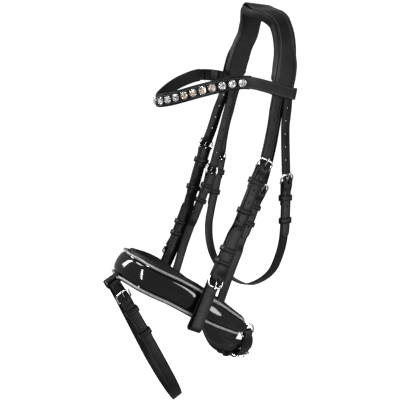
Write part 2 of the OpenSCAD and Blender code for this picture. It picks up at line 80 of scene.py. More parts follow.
# ------------ routes
class Route:
    """A smooth curve through points, with a direction across the strap that follows it."""

    def __init__(self, points, across):
        p = np.array(points, float)
        q = []
        for i in range(len(p) - 1):
            a, b, c, d = p[max(i - 1, 0)], p[i], p[i + 1], p[min(i + 2, len(p) - 1)]
            for j in range(ROUTE_STEPS):
                t = j / ROUTE_STEPS
                q.append(0.5 * (2 * b + (c - a) * t + (2 * a - 5 * b + 4 * c - d) * t * t
                                + (3 * b - a - 3 * c + d) * t ** 3))
        q.append(p[-1])
        self.points = np.array(q)
        self.reach = np.concatenate([[0], np.cumsum(np.linalg.norm(np.diff(self.points, axis=0), axis=1))])
        self.length = float(self.reach[-1])
        self.cross = np.array(across, float)

    def pos(self, s):
        """Points at lengths s, going straight on past either end."""
        s = np.atleast_1d(np.asarray(s, float))
        out = np.stack([np.interp(s, self.reach, self.points[:, k]) for k in range(3)], axis=1)
        first = unit(self.points[3] - self.points[0])
        last = unit(self.points[-1] - self.points[-4])
        out += np.minimum(s, 0)[:, None] * first + np.maximum(s - self.length, 0)[:, None] * last
        return out

    def frames(self, s):
        """Positions, along, across and outward directions at lengths s."""
        s = np.atleast_1d(np.asarray(s, float))
        t = unit(self.pos(s + 2) - self.pos(s - 2))
        w = unit(self.cross - (t @ self.cross)[:, None] * t)
        return self.pos(s), t, w, np.cross(t, w)


def unit(v):
    """Vectors of length 1."""
    return v / np.linalg.norm(v, axis=-1, keepdims=True)


def flip(points):
    """Points on the horse's other side."""
    return [(-x, y, z) for x, y, z in points]


CROWN = Route([(-64.5, -8, -101), (-64, -7, -88), (-61, -5, -70), (-57, 0, -48), (-49, 7, -24), (-37, 6, 2),
               (-20, 3, 14), (0, 1, 10.6), (20, 2, 7.5), (38, 5, -3), (50, 5, -24), (57, 3, -48),
               (61.5, -1.5, -70), (63.5, -7, -88), (64, -9, -101)], (0, 1, 0))
BROW = Route([(-68.2, 16, -98), (-68.2, -5, -92), (-68, -30, -85), (-67.5, -62, -82), (-64, -92, -88),
              (-58, -113, -95), (-49, -131, -102), (-37, -144, -106), (-20, -152, -106), (0, -146, -102),
              (18, -136, -96), (33, -124, -90), (45, -111, -85), (54, -98, -81), (62, -82, -78),
              (67, -62, -78), (68, -34, -85), (68.2, -5, -94), (68.2, 16, -99)], (0, 0, 1))
CHEEK = {
    "left": Route([(64, -17, -104), (66, -21, -118), (70, -26, -135), (75, -36, -165), (79, -45, -186),
                   (80, -61, -216), (79, -78, -254), (79, -95, -290), (79, -113, -325), (79.5, -133, -362),
                   (79.5, -155, -402)], (0, 1, 0)),
    "right": Route([(64, -17, -104), (66, -22, -118), (70, -27, -135), (75, -35, -165), (79, -42, -186),
                    (80, -53, -218), (79, -66, -255), (79, -81, -292), (79, -97, -328), (79.5, -114, -364),
                    (79.5, -134, -405)], (0, 1, 0))}
SLIP = Route([(59.5, -8, -104), (60, -11, -120), (62, -16, -140), (64, -22, -165), (65, -29, -190),
              (65.5, -39, -222), (66, -54, -258), (66.5, -71, -296), (66, -88, -335), (64.5, -102, -372),
              (64.5, -107, -384)], (0, 1, 0))
THROAT_NEAR = [(65, 1, -104), (68, -2, -118), (72, -7, -138), (77, -10, -158), (82, -12, -182),
               (86, -13, -207), (88, -14, -232), (88, -14, -264), (86, -14, -294), (79, -15, -320),
               (66, -17, -347), (44, -21, -369), (16, -26, -385)]
THROAT_FAR = [(-15, -29, -388), (-45, -32, -383), (-66, -35, -367), (-79, -36, -345), (-86, -34, -318),
              (-88, -28, -290), (-88, -21, -262), (-87, -16, -234), (-85, -12, -207), (-82, -10, -182),
              (-77, -8, -158), (-72, -5, -138), (-68, -2, -118), (-65, 1, -104)]
THROAT_TILT = (0, 0.96, -0.28)
THROAT = Route(THROAT_NEAR + THROAT_FAR, THROAT_TILT)
THROAT_OF = {"left": THROAT, "right": Route(flip(THROAT_FAR[::-1]), THROAT_TILT)}
NOSE_SIDE = [(0, -216, -322), (20, -213, -323), (36, -204, -329), (48, -189, -338), (57, -170, -349),
             (65, -148, -364), (68, -115, -388), (66, -82, -412), (63, -62, -425), (61.6, -53, -431),
             (60.5, -46, -435)]
NOSE = Route(flip(NOSE_SIDE[:0:-1]) + NOSE_SIDE, (0, 0.545, 0.839))
FLASH_SIDE = [(0, 0), (8, 4), (13, 14), (18, 36), (22, 70), (25, 110), (26, 150), (24, 188), (15, 214),
              (0, 226), (-15, 215), (-26, 186), (-26, 150), (-21, 110), (-15, 70), (-10, 36), (-8, 14),
              (-6, 4), (0, 0), (8, 4), (13, 14), (18, 36), (22, 70), (25, 110), (26, 150), (24, 188)]
FLASH = Route([(x, -235 + 0.43 * d, -340 - 0.903 * d) for x, d in FLASH_SIDE], (0, 0.903, 0.43))
FLASH_TURN = float(FLASH.reach[18 * ROUTE_STEPS])
JAW = Route([(62, -56, -422), (62, -56, -434), (62, -56, -447), (60, -56, -459), (53, -57, -469),
             (40, -58, -476), (22, -61, -482), (1, -63, -486), (-21, -62, -485), (-41, -59, -478),
             (-54, -57, -468), (-60, -56, -458), (-62, -56, -447), (-62, -56, -434), (-62, -56, -422)],
            (0, 1, 0))
CROWN_MID, BROW_MID, NOSE_MID = CROWN.length / 2, BROW.length / 2, NOSE.length / 2
CHEEK_HEEL, BIT_HEEL, SLIP_HEEL, THROAT_HEEL, FLASH_HEEL, JAW_HEEL = 94, 252, 130, 114, 34, 62
FRONT_END, RING_BACK = 28, 9


# ------------ paths along a route: length, height and perhaps width
def run(s0, s1, h0, h1=None):
    """A straight stretch, with a point about every 6 mm."""
    h1 = h0 if h1 is None else h1
    n = max(1, math.ceil(abs(s1 - s0) / 6))
    return [(s0 + (s1 - s0) * i / n, h0 + (h1 - h0) * i / n) for i in range(n + 1)]


def arc(s, h, r, a0, a1, n=10):
    """A turn of radius r about (s, h), from angle a0 to a1 in degrees."""
    return [(s + r * math.cos(math.radians(a0 + (a1 - a0) * i / n)),
             h + r * math.sin(math.radians(a0 + (a1 - a0) * i / n))) for i in range(n + 1)]


def quarter(cx, cy, r, a0, step):
    """A quarter turn about (cx, cy) from a0 degrees: points with their outward directions."""
    turn = [math.radians(a0 + a) for a in range(0, 91, step)]
    return [(cx + r * math.cos(g), cy + r * math.sin(g), math.cos(g), math.sin(g)) for g in turn]


def tip(s, h, w, d=1):
    """The round point at a strap's end s."""
    return [(s - d * back, h, w * k) for back, k in ((12, 1), (9, 0.99), (7, 0.95), (5, 0.87), (3.4, 0.76),
                                                     (2, 0.61), (0.9, 0.43), (0.25, 0.25), (0, 0.12))]


def chape(s, d=1, back=30):
    """The leather that folds round a buckle's heel bar, from its turned-back end to its outer layer."""
    return ([(s + d * q[0], q[1]) for q in run(back, 6, TURN_H)]
            + [(s + d * q[0], q[1]) for q in arc(0, BAR_H, FOLD_R, 270, 90)]
            + [(s + d * 4, BAR_H + FOLD_R - 0.9), (s + d * 8, CHAPE_H + 0.2)])


def rise(s, d=1):
    """The billet's way over the heel bar."""
    return [(s + d * x, h) for x, h in ((-17, -0.9), (-12, -0.5), (-9, 0.2), (-6, 1.6), (-3, 2.7), (0, 3),
                                        (3, 2.7), (6, 1.8), (10, 0.6), (14, 0))]


# ------------ meshes
def make(name, verts, faces, mats, index=None, smooth=40, flipped=False):
    """A mesh object from millimetre vertices; mats are its materials, index the material of each face."""
    verts = np.array(verts, float)
    if flipped:
        verts = verts * (-1, 1, 1)
        faces = [f[::-1] for f in faces]
    mesh = bpy.data.meshes.new(name)
    mesh.from_pydata((verts * MM).tolist(), [], [list(map(int, f)) for f in faces])
    mesh.validate()
    for m in mats:
        mesh.materials.append(m)
    if index is not None and len(mesh.polygons) == len(index):
        mesh.polygons.foreach_set("material_index", np.array(index, np.int32))
    if smooth:
        mesh.shade_smooth()
        mesh.set_sharp_from_angle(angle=math.radians(smooth))
    else:
        mesh.shade_flat()
    ob = bpy.data.objects.new(name, mesh)
    bpy.context.scene.collection.objects.link(ob)
    return ob


def resample(path, w, step):
    """The path as even, smooth rows of (length, height, width)."""
    p = np.array([(q[0], q[1], q[2] if len(q) > 2 else w) for q in path], float)
    keep = np.concatenate([[True], np.linalg.norm(np.diff(p[:, :2], axis=0), axis=1) > 1e-6])
    p = p[keep]
    out = []
    for i in range(len(p) - 1):
        a, b, c, d = p[max(i - 1, 0)], p[i], p[i + 1], p[min(i + 2, len(p) - 1)]
        n = max(1, math.ceil(np.linalg.norm((c - b)[:2]) / step))
        # Centripetal-like tangents keep short arcs round beside long straight runs
        lb, la, lc = (max(np.linalg.norm(v[:2]), 1e-6) for v in (c - b, b - a, d - c))
        m0 = (c - b) if i == 0 else ((b - a) / la * lb + (c - b)) / 2
        m1 = (c - b) if i == len(p) - 2 else ((d - c) / lc * lb + (c - b)) / 2
        for j in range(n):
            t = j / n
            out.append((2 * t ** 3 - 3 * t * t + 1) * b + (t ** 3 - 2 * t * t + t) * m0
                       + (3 * t * t - 2 * t ** 3) * c + (t ** 3 - t * t) * m1)
    out.append(p[-1])
    return np.array(out)


def rows(route, path, w, side=0.0):
    """Centres, across and thickness directions, and widths along a path."""
    q = resample(path, w, ROW_STEP)
    a, b = np.vstack([q[:1], q[:-1]]), np.vstack([q[1:], q[-1:]])
    d = unit((b - a)[:, :2] + 1e-12)
    c, t, x, n = route.frames(q[:, 0])
    sides = side(q[:, 0]) if callable(side) else side
    centre = c + q[:, 1:2] * n + np.reshape(sides, (-1, 1)) * x
    return centre, x, d[:, :1] * n - d[:, 1:2] * t, q[:, 2], q


def grid(n, k, last):
    """Faces between the first last + 1 of n closed rows of k points; last = n joins the end to the start."""
    return [(i * k + j, i * k + (j + 1) % k, (i + 1) % n * k + (j + 1) % k, (i + 1) % n * k + j)
            for i in range(last) for j in range(k)]


def loft(rings):
    """Vertices and faces joining rings of points, with both ends closed."""
    n, k = rings.shape[:2]
    faces = [(i * k + j, (i + 1) * k + j, (i + 1) * k + (j + 1) % k, i * k + (j + 1) % k)
             for i in range(n - 1) for j in range(k)]
    faces += [tuple(range(k)), tuple((n - 1) * k + j for j in range(k - 1, -1, -1))]
    return rings.reshape(-1, 3), faces


def flat_outline(t, crease=True):
    """A leather strap's section: rounded edges and, on its face, a crease line beside each edge."""
    r, dome = min(0.55, t / 2 - 0.02), 0.12
    pts = []
    for face, a0 in ((-1, 270), (1, 0)):
        pts += [(0.5, x, z) for x, z, _, _ in quarter(-r, face * (t / 2 - r), r, a0, 30)]
    if crease:
        pts += [(0.5, -1.5, t / 2), (0.5, -1.75, t / 2 - 0.2), (0.5, -2.0, t / 2)]
    pts += [(0.3, 0, t / 2 + dome * 0.6), (0, 0, t / 2 + dome), (-0.3, 0, t / 2 + dome * 0.6)]
    if crease:
        pts += [(-0.5, 2.0, t / 2), (-0.5, 1.75, t / 2 - 0.2), (-0.5, 1.5, t / 2)]
    for face, a0 in ((1, 90), (-1, 180)):
        pts += [(-0.5, x, z) for x, z, _, _ in quarter(r, face * (t / 2 - r), r, a0, 30)]
    return np.array(pts)


def round_outline(points, times=3):
    """A closed outline with its corners cut round (fraction of width, extra, height)."""
    p = np.array(points, float)
    for _ in range(times):
        nxt = np.roll(p, -1, axis=0)
        p = np.stack([0.75 * p + 0.25 * nxt, 0.25 * p + 0.75 * nxt], axis=1).reshape(-1, 3)
    return p


def sweep(name, route, path, w, outline, mats, side=0.0, flipped=False, ripple=None, smooth=40):
    """A strap or pad: an outline carried along a path. Ripple(length, across, height) raises its surface."""
    c, x, m, width, q = rows(route, path, w, side)
    across = outline[None, :, 0] * width[:, None] + outline[None, :, 1] * np.minimum(1, width / w)[:, None]
    up = np.repeat(outline[None, :, 2], len(c), axis=0)
    if ripple is not None:
        up = up + ripple(q[:, 0][:, None], across, up)
    rings = c[:, None, :] + across[..., None] * x[:, None, :] + up[..., None] * m[:, None, :]
    verts, faces = loft(rings)
    # Loft faces turn outward only if the outline runs the right way round
    if signed_area(outline) > 0:
        faces = [f[::-1] for f in faces]
    return make(name, verts, faces, mats, smooth=smooth, flipped=flipped)


def signed_area(outline):
    """Twice the outline's area at a width of 20, positive if it runs anticlockwise."""
    a, b = outline[:, 0] * 20 + outline[:, 1], outline[:, 2]
    return float(np.sum(a * np.roll(b, -1) - np.roll(a, -1) * b))


def tube(points, radius, sides=16, closed=False, flatten=1.0, up=None):
    """Rings of a round wire through points; flatten squeezes it along up."""
    p = np.array(points, float)
    n = len(p)
    if closed:
        prev, nxt = np.roll(p, 1, axis=0), np.roll(p, -1, axis=0)
    else:
        prev, nxt = np.vstack([p[:1], p[:-1]]), np.vstack([p[1:], p[-1:]])
    t = unit(nxt - prev)
    up = np.array((0, 0, 1.0)) if up is None else np.array(up, float)
    b = unit(np.cross(t, up))
    u = np.cross(b, t)
    a = np.linspace(0, 2 * math.pi, sides, endpoint=False)
    r = np.reshape(radius, (-1, 1, 1)) * np.ones((n, 1, 1))
    rings = p[:, None, :] + r * (np.cos(a)[None, :, None] * b[:, None, :]
                                 + flatten * np.sin(a)[None, :, None] * u[:, None, :])
    faces = grid(n, sides, n if closed else n - 1)
    if not closed:
        faces += [tuple(range(sides - 1, -1, -1)), tuple((n - 1) * sides + j for j in range(sides))]
    return rings.reshape(-1, 3), faces


def join(parts):
    """Several (vertices, faces) as one."""
    verts, faces, base = [], [], 0
    for v, f in parts:
        verts.append(np.asarray(v, float))
        faces += [tuple(i + base for i in g) for g in f]
        base += len(v)
    return np.vstack(verts), faces


def place(route, s, h=0.0, d=1):
    """4x4 that stands a shape on a route: x along, y across, z outward."""
    p, t, w, n = (v[0] for v in route.frames(s))
    m = np.eye(4)
    m[:3, 0], m[:3, 1], m[:3, 2], m[:3, 3] = t * d, w * d, n, p + h * n
    return m


def moved(part, m):
    """A (vertices, faces) part put through a 4x4."""
    v = np.asarray(part[0], float)
    return v @ m[:3, :3].T + m[:3, 3], part[1]


def punch(ob, route, places, flipped=False, slots=()):
    """Cuts the billet's holes, and longer slots, through a strap."""
    parts = []
    turn = np.linspace(0, 2 * math.pi, 20, endpoint=False)
    for s, long_back in [(s, 0) for s in places] + list(slots):
        ring = [(HOLE_R * math.cos(a), HOLE_R * math.sin(a)) for a in turn]
        ring = [(x + long_back * (x > 0), y) for x, y in ring]
        v = np.array([(x, y, z) for z in (-6, 6) for x, y in ring])
        k = len(ring)
        f = [(j, (j + 1) % k, k + (j + 1) % k, k + j) for j in range(k)]
        f += [tuple(range(k - 1, -1, -1)), tuple(range(k, 2 * k))]
        parts.append(moved((v, f), place(route, s)))
    cutter = make("cutter", *join(parts), [], smooth=0, flipped=flipped)
    cut = ob.modifiers.new("holes", "BOOLEAN")
    cut.object, cut.solver = cutter, "EXACT"
    deps = bpy.context.evaluated_depsgraph_get()
    mesh = bpy.data.meshes.new_from_object(ob.evaluated_get(deps))
    if len(mesh.polygons) > 100:
        ob.data = mesh
    ob.modifiers.clear()
    bpy.data.objects.remove(cutter)
    ob.data.set_sharp_from_angle(angle=math.radians(40))


def stitches(spots):
    """Thread stitches as small raised grains. Each spot is (centre, along, across, outward)."""
    half_long, half_wide = 1.05, 0.3
    shape = [(x * half_long, y * half_wide, z) for x, y, z in
             ((-1, 0, 0.02), (-0.7, -0.9, 0), (-0.7, 0, 0.24), (-0.7, 0.9, 0), (0.7, -0.9, 0), (0.7, 0, 0.24),
              (0.7, 0.9, 0), (1, 0, 0.02), (0, -0.9, -0.1), (0, 0.9, -0.1))]
    shape = np.array(shape)
    face = [(0, 1, 2), (0, 2, 3), (1, 4, 5, 2), (2, 5, 6, 3), (4, 7, 5), (5, 7, 6), (1, 8, 4), (3, 6, 9),
            (0, 3, 9), (0, 8, 1), (4, 8, 7), (6, 7, 9), (0, 9, 8), (7, 8, 9)]
    verts, faces = [], []
    for i, (c, t, x, n) in enumerate(spots):
        verts.append(c + shape[:, :1] * t + shape[:, 1:2] * x + shape[:, 2:] * n)
        faces += [tuple(j + 10 * i for j in f) for f in face]
    return np.vstack(verts), faces


def seam(route, s0, s1, h, offset, pitch=3.0):
    """Spots of a row of stitches on a route, at a height and a distance across (a number or a function)."""
    n = max(2, int(abs(s1 - s0) / pitch))
    s = np.linspace(s0, s1, n)
    p, t, x, out = route.frames(s)
    o = offset(s) if callable(offset) else np.full(n, float(offset))
    h = h(s) if callable(h) else np.full(n, float(h))
    return [(p[i] + h[i] * out[i] + o[i] * x[i], t[i], x[i], out[i]) for i in range(n)]


# ------------ materials
def nodes_of(name):
    """A new material, its tree, its shader and its object coordinates."""
    m = bpy.data.materials.new(name)
    m.use_nodes = True
    t = m.node_tree
    shader = t.nodes["Principled BSDF"]
    coords = t.nodes.new("ShaderNodeTexCoord")
    return m, t, shader, coords.outputs["Object"]


def noise(t, vector, scale, detail=4.0):
    """Smooth noise from 0 to 1."""
    n = t.nodes.new("ShaderNodeTexNoise")
    n.inputs["Scale"].default_value = scale
    n.inputs["Detail"].default_value = detail
    n.inputs["Roughness"].default_value = 0.55
    t.links.new(vector, n.inputs["Vector"])
    return n.outputs["Fac"]


def ramp(t, value, stops):
    """A colour that runs through (position, colour) stops."""
    r = t.nodes.new("ShaderNodeValToRGB")
    e = r.color_ramp.elements
    for i, (at, colour) in enumerate(stops):
        e[i].position, e[i].color = at, (*colour, 1)
    t.links.new(value, r.inputs["Fac"])
    return r.outputs["Color"]


def spread(t, value, low, high):
    """A value from 0 to 1 spread over a range."""
    r = t.nodes.new("ShaderNodeMapRange")
    r.inputs["To Min"].default_value, r.inputs["To Max"].default_value = low, high
    t.links.new(value, r.inputs["Value"])
    return r.outputs["Result"]


def bump(t, shader, layers):
    """Stacked bumps; each layer is (height, strength, distance in metres)."""
    last = None
    for height, strength, distance in layers:
        b = t.nodes.new("ShaderNodeBump")
        b.inputs["Strength"].default_value = strength
        b.inputs["Distance"].default_value = distance
        t.links.new(height, b.inputs["Height"])
        if last is not None:
            t.links.new(last, b.inputs["Normal"])
        last = b.outputs["Normal"]
    t.links.new(last, shader.inputs["Normal"])


def grain(t, vector, scale):
    """The small cells of a leather's surface."""
    v = t.nodes.new("ShaderNodeTexVoronoi")
    v.feature = "DISTANCE_TO_EDGE"
    v.inputs["Scale"].default_value = scale
    t.links.new(vector, v.inputs["Vector"])
    return v.outputs["Distance"]


def leather(name, dark, light, rough, grain_scale, grain_depth, coat, specular):
    """A leather of two close tones, with a range of roughness and a fine grain."""
    m, t, s, at = nodes_of(name)
    big = noise(t, at, 45, 5)
    t.links.new(ramp(t, big, [(0.3, dark), (0.72, light)]), s.inputs["Base Color"])
    t.links.new(spread(t, noise(t, at, 160, 3), *rough), s.inputs["Roughness"])
    s.inputs["Specular IOR Level"].default_value = specular
    s.inputs["Coat Weight"].default_value = coat
    s.inputs["Coat Roughness"].default_value = 0.3
    bump(t, s, [(noise(t, at, 260, 3), 0.25, 0.0004), (grain(t, at, grain_scale), 0.5, grain_depth)])
    return m


BRIDLE = leather("bridle_leather", (0.0022, 0.0022, 0.0026), (0.006, 0.006, 0.0068), (0.28, 0.42), 1300,
                 0.00005, 0.02, 0.09)
SOFT = leather("soft_lining", (0.0028, 0.0028, 0.0032), (0.008, 0.008, 0.0088), (0.42, 0.58), 800, 0.00009,
               0.0, 0.1)


def thread_material():
    m, t, s, at = nodes_of("thread")
    t.links.new(ramp(t, noise(t, at, 900), [(0.3, (0.03, 0.03, 0.032)), (0.7, (0.075, 0.075, 0.078))]),
                s.inputs["Base Color"])
    t.links.new(spread(t, noise(t, at, 400), 0.5, 0.7), s.inputs["Roughness"])
    bump(t, s, [(noise(t, at, 3000, 2), 0.4, 0.00006)])
    return m


def patent_material():
    m, t, s, at = nodes_of("patent_leather")
    t.links.new(ramp(t, noise(t, at, 30), [(0.3, (0.0012, 0.0012, 0.0014)), (0.7, (0.003, 0.003, 0.0034))]),
                s.inputs["Base Color"])
    t.links.new(spread(t, noise(t, at, 90), 0.05, 0.12), s.inputs["Roughness"])
    s.inputs["Specular IOR Level"].default_value = 0.25
    s.inputs["Coat Weight"].default_value = 0.35
    s.inputs["Coat Roughness"].default_value = 0.02
    bump(t, s, [(noise(t, at, 38, 2), 0.22, 0.003), (noise(t, at, 220, 2), 0.08, 0.0006)])
    return m


def metal_material():
    m, t, s, at = nodes_of("silver_metal")
    t.links.new(ramp(t, noise(t, at, 120), [(0.3, (0.5, 0.5, 0.51)), (0.7, (0.72, 0.72, 0.73))]),
                s.inputs["Base Color"])
    s.inputs["Metallic"].default_value = 1.0
    t.links.new(spread(t, noise(t, at, 500), 0.12, 0.26), s.inputs["Roughness"])
    bump(t, s, [(noise(t, at, 1500, 2), 0.12, 0.00005)])
    return m


def piping_material():
    m, t, s, at = nodes_of("grey_piping")
    t.links.new(ramp(t, noise(t, at, 300), [(0.3, (0.12, 0.122, 0.126)), (0.7, (0.2, 0.203, 0.207))]),
                s.inputs["Base Color"])
    s.inputs["Metallic"].default_value = 0.35
    t.links.new(spread(t, noise(t, at, 700), 0.34, 0.5), s.inputs["Roughness"])
    bump(t, s, [(grain(t, at, 1400), 0.4, 0.00006)])
    return m


def crystal_material(name, dark, light):
    m, t, s, at = nodes_of(name)
    # Small cells from near black to white over each crystal: painted sparkle, that is painted glints and
    # painted dark facets standing in for reflections of the lamps
    v = t.nodes.new("ShaderNodeTexVoronoi")
    v.inputs["Scale"].default_value = 620
    t.links.new(at, v.inputs["Vector"])
    pick = t.nodes.new("ShaderNodeSeparateColor")
    t.links.new(v.outputs["Color"], pick.inputs["Color"])
    t.links.new(ramp(t, pick.outputs["Red"], [(0.1, dark), (0.6, light)]), s.inputs["Base Color"])
    s.inputs["Metallic"].default_value = 0.8
    t.links.new(spread(t, noise(t, at, 900), 0.03, 0.09), s.inputs["Roughness"])
    s.inputs["Coat Weight"].default_value = 1.0
    s.inputs["Coat Roughness"].default_value = 0.01
    s.inputs["Coat IOR"].default_value = 1.7
    return m


THREAD, PATENT, METAL, PIPING = thread_material(), patent_material(), metal_material(), piping_material()
# The dark and light tones of each crystal are the ends of its painted sparkle: painted dark facets and
# painted glints
CLEAR = crystal_material("crystal_clear", (0.06, 0.062, 0.065), (1, 1, 1))
CHAMPAGNE = crystal_material("crystal_champagne", (0.07, 0.052, 0.038), (0.95, 0.8, 0.64))


# ------------ filing a piece
def file(ob, body, slot, *nodes, soft=None):
    """Says which body a piece rides on and which CAD nodes it replaces; the slot naming what it is made of is
    not used.
    """
    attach(ob, body)
    if nodes:
        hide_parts(*nodes)


threads = {}


def sew(body, spots, flipped=False):
    """Keeps stitches for a body's thread, mirrored on the far side."""
    side = (-1, 1, 1) if flipped else (1, 1, 1)
    threads.setdefault(body, []).extend(tuple(v * side for v in spot) for spot in spots)


SIDES = (("left", False), ("right", True))


# ------------ hardware
def buckle(w):
    """A frame in its own place: heel bar at x = 0 across y, front bar at x = -FRAME_L."""
    half = w / 2 + 1.2 + WIRE_R
    small, big = 1.6, 5
    corners = ((-small, half - small, small, 0), (big - FRAME_L, half - big, big, 90),
               (big - FRAME_L, big - half, big, 180), (-small, small - half, small, 270))
    heel = [(0, y, 0) for y in np.linspace(small - half, half - small, 12)[1:-1]]
    pts = np.array([(x, y, 0) for c in corners for x, y, _, _ in quarter(*c, 10)] + heel)
    front = np.clip((-pts[:, 0] - 6) / 6, 0, 1)
    slope = math.asin((FRONT_H - BAR_H) / FRAME_L)
    verts, faces = tube(pts, WIRE_R * (1 - 0.02 * front), 16, closed=True, flatten=0.96)
    turn = np.array(Matrix.Rotation(slope, 4, "Y"))
    return moved((verts, faces), turn)


def tongue():
    """A pin on a hub round the heel bar, lying on the front bar."""
    reach = FRAME_L + 2.5
    lift = FRONT_H + WIRE_R + 0.9 + 0.4 - BAR_H
    slope = math.atan((lift - 1.65) / (FRAME_L - 1.4))
    hub_r, bar = 2.5, WIRE_R + 0.06
    ring = [(bar, -1.3), (hub_r - 0.35, -1.3), (hub_r, -0.95), (hub_r, 0.95), (hub_r - 0.35, 1.3), (bar, 1.3)]
    a = np.linspace(0, 2 * math.pi, 28, endpoint=False)
    hub = np.array([(r * math.cos(g), y, r * math.sin(g)) for g in a for r, y in ring])
    u = np.linspace(0, 1, 16)
    pts = [(-0.6 - reach * x * math.cos(slope), 0, 1.65 + reach * x * math.sin(slope)) for x in u]
    radius = np.where(u > 0.93, 0.9 * np.sqrt(np.maximum(0.05, 1 - ((u - 0.93) / 0.07) ** 2)), 0.9)
    return join([(hub, grid(28, len(ring), 28)), tube(pts, radius, 14, up=(0, 1, 0))])


def keeper(w, low, high, long):
    """A leather loop round the strap, standing at the middle of its layers."""
    half_y, half_z = (w + 1 + KEEPER_T) / 2, (high - low + KEEPER_T) / 2
    r = 1.5
    track = [q for cy, cz, a0 in ((half_y - r, half_z - r, 0), (r - half_y, half_z - r, 90),
                                  (r - half_y, r - half_z, 180), (half_y - r, r - half_z, 270))
             for q in quarter(cy, cz, r, a0, 15)]
    e, t, b = long / 2, KEEPER_T / 2, 0.45
    section = [(-e, -t + b), (-e + b, -t), (e - b, -t), (e, -t + b), (e, t - b), (e - 0.25, t - 0.1),
               (e - 1.0, t), (e - 1.25, t - 0.18), (e - 1.5, t), (0, t + 0.12), (-e + 1.5, t),
               (-e + 1.25, t - 0.18), (-e + 1.0, t), (-e + 0.25, t - 0.1), (-e, t - b)]
    rings = np.array([[(x, y + v * ny, z + v * nz) for x, v in section] for y, z, ny, nz in track])
    n, k = rings.shape[:2]
    faces = [(i * k + j, ((i + 1) % n) * k + j, ((i + 1) % n) * k + (j + 1) % k, i * k + (j + 1) % k)
             for i in range(n) for j in range(k)]
    return rings.reshape(-1, 3), [f[::-1] for f in faces]


def set_buckle(route, s, w, d, flipped, body, node, pin):
    """A buckle frame on its body, and its tongue on a body of its own."""
    ob = make(node + ".look", *moved(buckle(w), place(route, s, BAR_H, d)), [METAL], flipped=flipped,
              smooth=50)
    file(ob, body, "silver_metal", node)
    ob = make(pin + ".look", *moved(tongue(), place(route, s, BAR_H, d)), [METAL], flipped=flipped, smooth=50)
    file(ob, pin, "silver_metal", pin)


def set_keeper(name, route, s, w, low, high, long, flipped, body, nodes=None):
    """A keeper round the layers from low to high; it replaces the node of its own name, or those given."""
    part = moved(keeper(w, low, high, long), place(route, s, (low + high) / 2))
    ob = make(name + ".look", *part, [BRIDLE], flipped=flipped, smooth=35)
    file(ob, body, "bridle_leather", *([name] if nodes is None else nodes))


def strap(name, route, path, w, body, flipped=False):
    """A folded strap of the thinner leather, in place of the node of its name."""
    ob = sweep(name + ".look", route, path, w, flat_outline(CHAPE_T), [BRIDLE], flipped=flipped)
    file(ob, body, "bridle_leather", name)
    return ob


# ------------ crown
def lookup(table):
    """A function read off (distance from the middle, width) points."""
    return lambda x: np.interp(np.abs(x), *zip(*table))


HEAD_W = lookup([(0, 36), (22, 32), (48, 24), (75, 24), (90, 28), (104, 33), (130, 34)])
PAD_W = lookup([(0, 48), (22, 42), (48, 31)])


def lift(s, across):
    """How far the stuffed poll raises the flat leather over the rolled edges; most at its front edge."""
    rise = np.interp(s - CROWN_MID, (-92, -78, -64, -50, -38, -24, -12, 0, 14, 24),
                     (0, 0.6, 2, 4, 5, 5, 3.8, 2.2, 0.6, 0))
    return rise * np.clip(0.6 - across / 32, 0, 1.1)


def crown():
    """The headpiece, the sliphead under it and the pad."""
    tail = CROWN.length - 2
    s = np.linspace(2, tail, 60)
    path = [(v, 0, float(HEAD_W(v - CROWN_MID))) for v in s]

    def raised(v, across, up):
        return lift(v, across)

    ob = sweep("headpiece.look", CROWN, path, 30, flat_outline(2.4), [BRIDLE], ripple=raised)
    file(ob, "crown", "bridle_leather", "headpiece")
    for d in (-1, 1):
        def edge(v, d=d):
            return d * (HEAD_W(v - CROWN_MID) / 2 - 3)

        def height(v, edge=edge):
            return 1.25 + lift(v, edge(v))

        sew("crown", seam(CROWN, 10, tail - 8, height, edge))
    ob = sweep("sliphead_crown.look", CROWN, run(2, tail, -2.7), SLIP_W, flat_outline(2, False), [BRIDLE])
    file(ob, "crown", "bridle_leather", "sliphead_crown")
    # The pad: a soft base and a plump roll along each edge, with a groove beside the flat leather
    outline = round_outline([(-0.5, 0.3, 1.6), (-0.46, 0, 0.1), (-0.2, 0, 0.0), (0.2, 0, 0.0), (0.46, 0, 0.1),
                             (0.5, -0.3, 1.6), (0.505, 0, 6), (0.5, 0, 9.8), (0.475, 0, 11.4),
                             (0.42, 0, 11.4), (0.385, 0, 9.8), (0.38, 0, 6.4), (0.34, 0, 6.2),
                             (-0.34, 0, 6.2), (-0.38, 0, 6.4), (-0.385, 0, 9.8), (-0.42, 0, 11.4),
                             (-0.475, 0, 11.4), (-0.5, 0, 9.8), (-0.505, 0, 6)])
    reach = 131
    s = np.linspace(CROWN_MID - reach, CROWN_MID + reach, 110)
    end = np.minimum(1, np.sqrt(np.maximum(0, (reach - np.abs(s - CROWN_MID)) / 6)) * 0.3 + 0.7)
    low = np.interp(np.abs(s - CROWN_MID), (82, 104), (-10.2, -12.6))
    path = [(v, float(h), float(PAD_W(v - CROWN_MID) * e)) for v, h, e in zip(s, low, end)]

    def puckers(v, across, up):
        edge = np.clip((np.abs(across) - 9) / 5, 0, 1)
        middle = (up > 5) & (np.abs(across) < 0.365 * PAD_W(v - CROWN_MID))
        return (0.16 * edge * np.sin(v * 1.15) * np.sin(v * 0.37 + across)
                + 0.2 * np.sin(v * 0.21 + 1.0) * edge + middle * lift(v, across))

    ob = sweep("crown_pad.look", CROWN, path, 36, outline, [SOFT], ripple=puckers, smooth=60)
    file(ob, "crown", "soft_lining", "crown_pad", soft=0.8)


